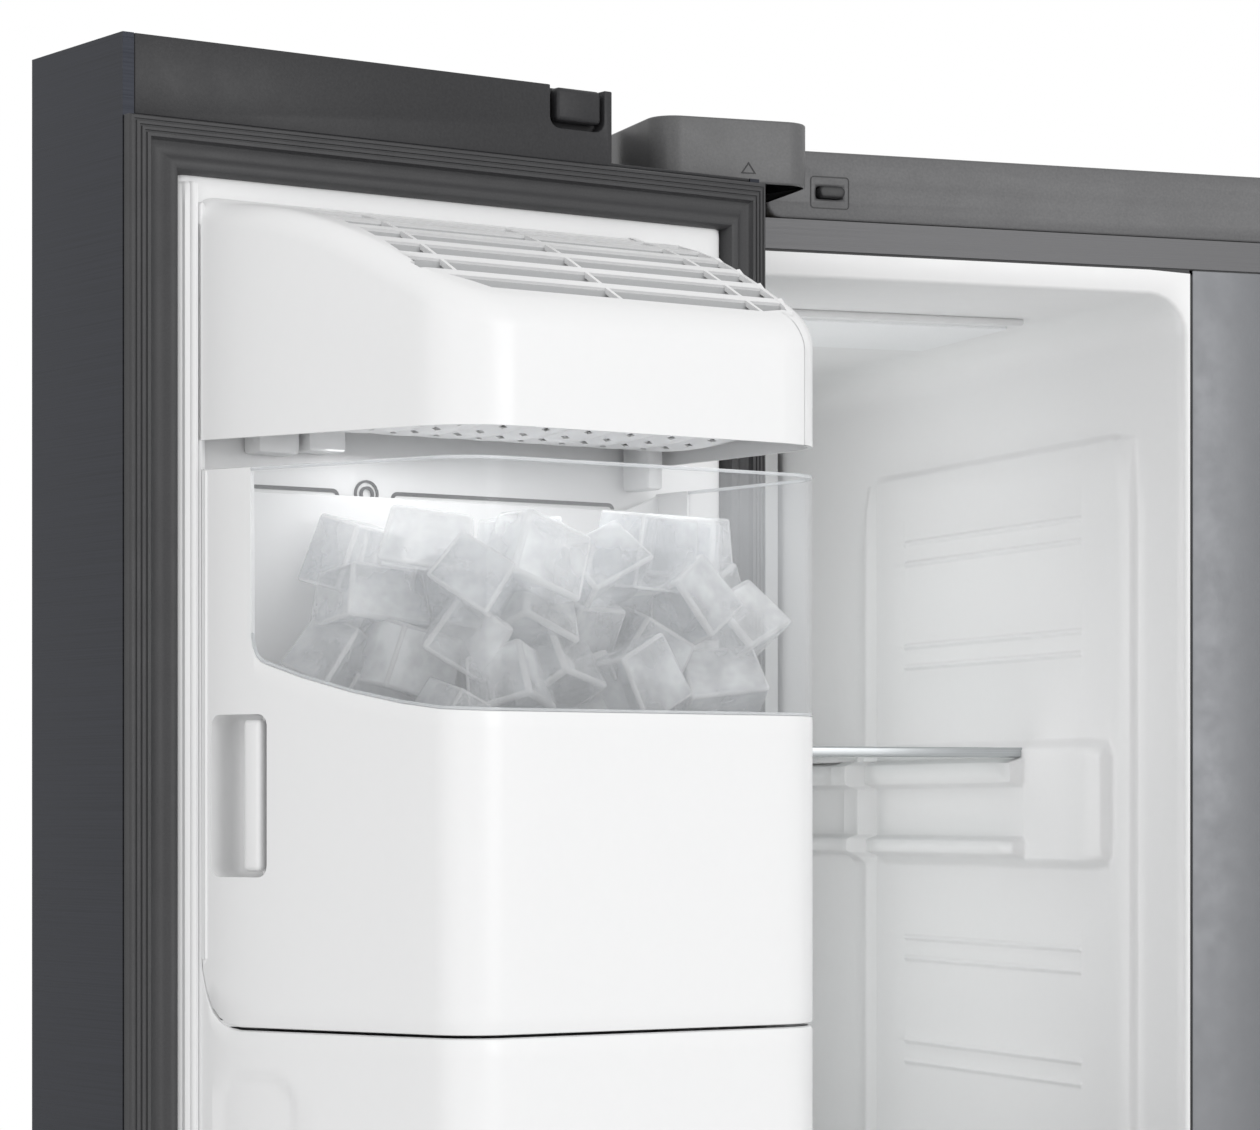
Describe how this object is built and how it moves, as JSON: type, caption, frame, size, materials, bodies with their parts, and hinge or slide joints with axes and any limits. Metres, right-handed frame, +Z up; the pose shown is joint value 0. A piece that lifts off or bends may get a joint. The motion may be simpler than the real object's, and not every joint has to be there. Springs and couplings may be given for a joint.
{
  "type": "side by side refrigerator",
  "caption": "Side by side refrigerator with two swinging doors, an in-door ice maker with a clear ice bucket, glass shelves, sliding drawers and an ice dispenser.",
  "frame": {"origin": "middle of the bottom of the bounding box, with both doors open, at floor level", "axes": "+Z up, +Y from the doors to the back, +X to the right as seen from the front"},
  "size_m": [1.7262, 1.0844, 1.78],
  "materials": {
    "dark_brushed_steel": "satin",
    "grey_painted_steel": "satin",
    "light_grey_steel": "satin",
    "galvanised_steel": "satin",
    "black_enamel": "gloss",
    "dark_grey_plastic": "matte",
    "grey_plastic": "matte",
    "white_liner_plastic": "satin",
    "black_glass_panel": "gloss",
    "clear_plastic": "gloss",
    "shelf_glass": "gloss",
    "grey_gasket_rubber": "matte",
    "insulation_foam": "matte"
  },
  "bodies": {
    "cabinet": {"back_panel": "galvanised_steel", "base_frame": "galvanised_steel", "bottom_hinge_left": "galvanised_steel", "bottom_hinge_right": "galvanised_steel", "center_mullion": "light_grey_steel", "compressor": "black_enamel", "crisper_cover": "shelf_glass", "freezer_duct_cover": "white_liner_plastic", "freezer_liner": "white_liner_plastic", "freezer_shelf_lower": "shelf_glass", "freezer_shelf_middle": "shelf_glass", "freezer_shelf_upper": "shelf_glass", "fridge_liner": "white_liner_plastic", "fridge_shelf_middle": "shelf_glass", "fridge_shelf_upper": "shelf_glass", "front_rail": "grey_painted_steel", "hinge_cover_left": "grey_plastic", "hinge_cover_right": "grey_plastic", "insulation_foam": "insulation_foam", "outer_case": "grey_painted_steel", "rear_cover": "galvanised_steel", "toe_grille": "dark_grey_plastic", "top_hinge_left": "galvanised_steel", "top_hinge_right": "galvanised_steel", "top_table": "grey_plastic"},
    "freezer_door": {"freezer_door_skin": "dark_brushed_steel", "freezer_door_top_cap": "dark_grey_plastic", "freezer_door_foam": "insulation_foam", "freezer_door_liner": "white_liner_plastic", "freezer_door_gasket": "grey_gasket_rubber", "ice_maker_cover": "white_liner_plastic", "ice_maker": "white_liner_plastic", "freezer_door_bin_lower": "clear_plastic", "freezer_door_bin_upper": "clear_plastic", "dispenser_housing": "dark_grey_plastic", "dispenser_panel": "black_glass_panel"},
    "ice_tray": {"ice_tray": "grey_plastic"},
    "dispenser_paddle": {"dispenser_paddle": "dark_grey_plastic"},
    "ice_bucket": {"ice_bucket": "white_liner_plastic", "ice_bucket_window": "clear_plastic"},
    "ice_auger": {"ice_auger": "galvanised_steel"},
    "fridge_door": {"fridge_door_skin": "dark_brushed_steel", "fridge_door_top_cap": "dark_grey_plastic", "fridge_door_foam": "insulation_foam", "fridge_door_liner": "white_liner_plastic", "fridge_door_gasket": "grey_gasket_rubber", "fridge_door_bin_lower": "clear_plastic", "fridge_door_bin_middle": "clear_plastic", "fridge_door_bin_upper": "clear_plastic"},
    "freezer_drawer_lower": {"freezer_drawer_lower": "clear_plastic"},
    "freezer_drawer_upper": {"freezer_drawer_upper": "clear_plastic"},
    "crisper_lower": {"crisper_lower": "clear_plastic"},
    "crisper_upper": {"crisper_upper": "clear_plastic"},
    "freezer_door_switch": {"freezer_door_switch": "grey_plastic"},
    "fridge_door_switch": {"fridge_door_switch": "grey_plastic"},
    "rear_roller_left": {"rear_roller_left": "dark_grey_plastic"},
    "rear_roller_right": {"rear_roller_right": "dark_grey_plastic"},
    "leveling_leg_left": {"leveling_leg_left": "dark_grey_plastic"},
    "leveling_leg_right": {"leveling_leg_right": "dark_grey_plastic"},
    "condenser_fan": {"condenser_fan": "dark_grey_plastic"}
  },
  "joints": [
    {"name": "freezer_door_swing", "type": "hinge", "parent": "cabinet", "child": "freezer_door", "pos_m": [-0.49189, -0.25878, 0.9], "axis": [0, 0, -1], "range_deg": [-164.5, 0]},
    {"name": "fridge_door_swing", "type": "hinge", "parent": "cabinet", "child": "fridge_door", "pos_m": [0.38011, -0.25878, 0.9], "axis": [0, 0, 1], "range_deg": [-164.5, 0]},
    {"name": "ice_bucket_lift_out", "type": "slide", "parent": "freezer_door", "child": "ice_bucket", "axis": [0.2672, -0.9636, 0], "range_m": [0, 0.17]},
    {"name": "ice_auger_spin", "type": "hinge", "parent": "ice_bucket", "child": "ice_auger", "pos_m": [-0.61776, -0.44105, 1.3], "axis": [0, 0, 1], "continuous": true},
    {"name": "ice_tray_turn", "type": "hinge", "parent": "freezer_door", "child": "ice_tray", "pos_m": [-0.69725, -0.45375, 1.628], "axis": [-0.9636, -0.2672, 0], "range_deg": [0, 160]},
    {"name": "dispenser_paddle_push", "type": "hinge", "parent": "freezer_door", "child": "dispenser_paddle", "pos_m": [-0.65464, -0.31741, 1.16], "axis": [-0.9636, -0.2672, 0], "range_deg": [0, 8], "stiffness_Nm_per_rad": 0.5},
    {"name": "freezer_switch_push", "type": "slide", "parent": "cabinet", "child": "freezer_door_switch", "axis": [0, 1, 0], "range_m": [0, 0.004], "stiffness_N_per_m": 250},
    {"name": "fridge_switch_push", "type": "slide", "parent": "cabinet", "child": "fridge_door_switch", "axis": [0, 1, 0], "range_m": [0, 0.004], "stiffness_N_per_m": 250},
    {"name": "rear_roller_left_roll", "type": "hinge", "parent": "cabinet", "child": "rear_roller_left", "pos_m": [-0.45589, 0.44922, 0.02], "axis": [1, 0, 0], "continuous": true},
    {"name": "rear_roller_right_roll", "type": "hinge", "parent": "cabinet", "child": "rear_roller_right", "pos_m": [0.34411, 0.44922, 0.02], "axis": [1, 0, 0], "continuous": true},
    {"name": "leveling_leg_left_turn", "type": "hinge", "parent": "cabinet", "child": "leveling_leg_left", "pos_m": [-0.44089, -0.14578, 0.02], "axis": [0, 0, 1], "continuous": true},
    {"name": "leveling_leg_right_turn", "type": "hinge", "parent": "cabinet", "child": "leveling_leg_right", "pos_m": [0.32911, -0.14578, 0.02], "axis": [0, 0, 1], "continuous": true},
    {"name": "condenser_fan_spin", "type": "hinge", "parent": "cabinet", "child": "condenser_fan", "pos_m": [0.00411, 0.40922, 0.16], "axis": [0, 1, 0], "continuous": true},
    {"name": "freezer_drawer_lower_slide", "type": "slide", "parent": "cabinet", "child": "freezer_drawer_lower", "axis": [0, -1, 0], "range_m": [0, 0.25]},
    {"name": "freezer_drawer_upper_slide", "type": "slide", "parent": "cabinet", "child": "freezer_drawer_upper", "axis": [0, -1, 0], "range_m": [0, 0.35]},
    {"name": "crisper_lower_slide", "type": "slide", "parent": "cabinet", "child": "crisper_lower", "axis": [0, -1, 0], "range_m": [0, 0.25]},
    {"name": "crisper_upper_slide", "type": "slide", "parent": "cabinet", "child": "crisper_upper", "axis": [0, -1, 0], "range_m": [0, 0.35]}
  ]
}
